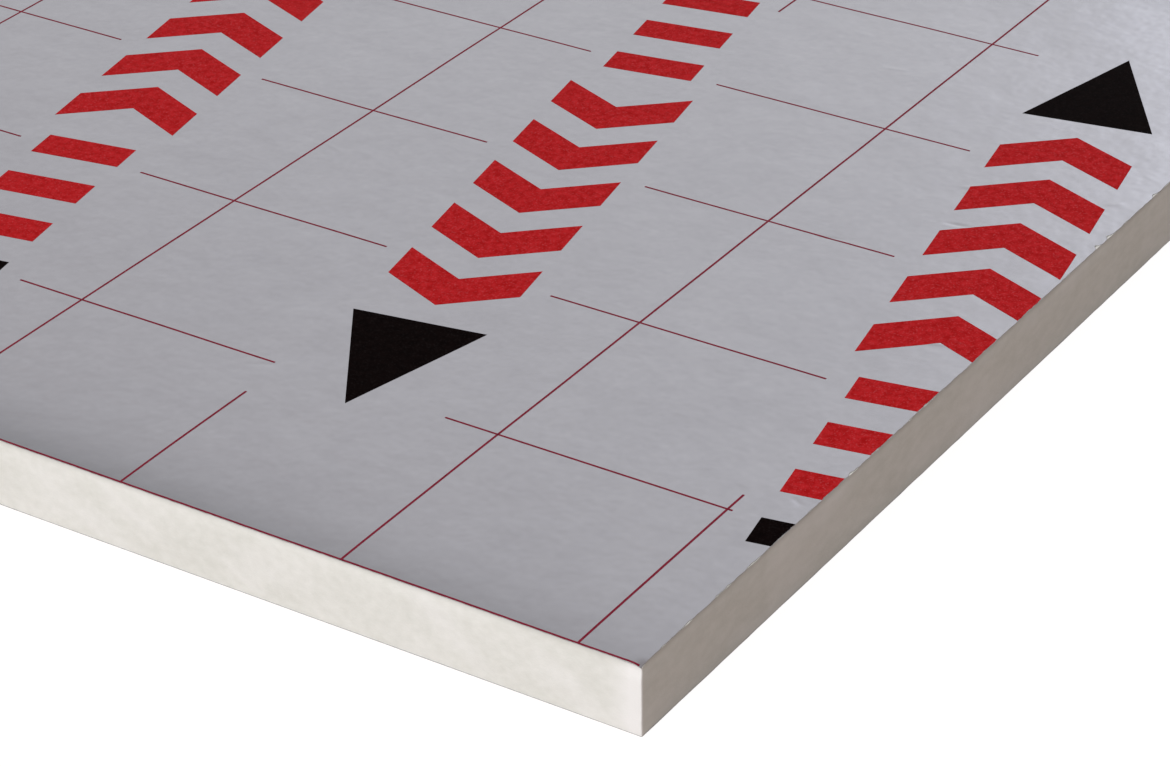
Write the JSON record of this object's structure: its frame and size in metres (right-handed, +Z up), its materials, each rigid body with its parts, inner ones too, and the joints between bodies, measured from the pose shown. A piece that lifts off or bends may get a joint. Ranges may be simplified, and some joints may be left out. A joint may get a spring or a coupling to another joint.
{
  "type": "polyiso insulation board",
  "caption": "Square-cut sheet of rigid polyiso foam with a bonded foil facing on each face, the upper one printed with a cutting grid.",
  "frame": {"origin": "middle of the underside, so the board rests on Z = 0", "axes": "+X along the board's length, +Y along its width, +Z up through its thickness"},
  "size_m": [1.2, 0.6, 0.03],
  "materials": {
    "foam": "sawn closed-cell foam, off-white, matt, softly mottled",
    "foil_facing": "satin foil laminate, faintly mottled, with thin red and black printing on the upper face"
  },
  "bodies": {
    "root": {"foam_core": "foam", "top_facing": "foil_facing", "bottom_facing": "foil_facing"}
  },
  "joints": []
}
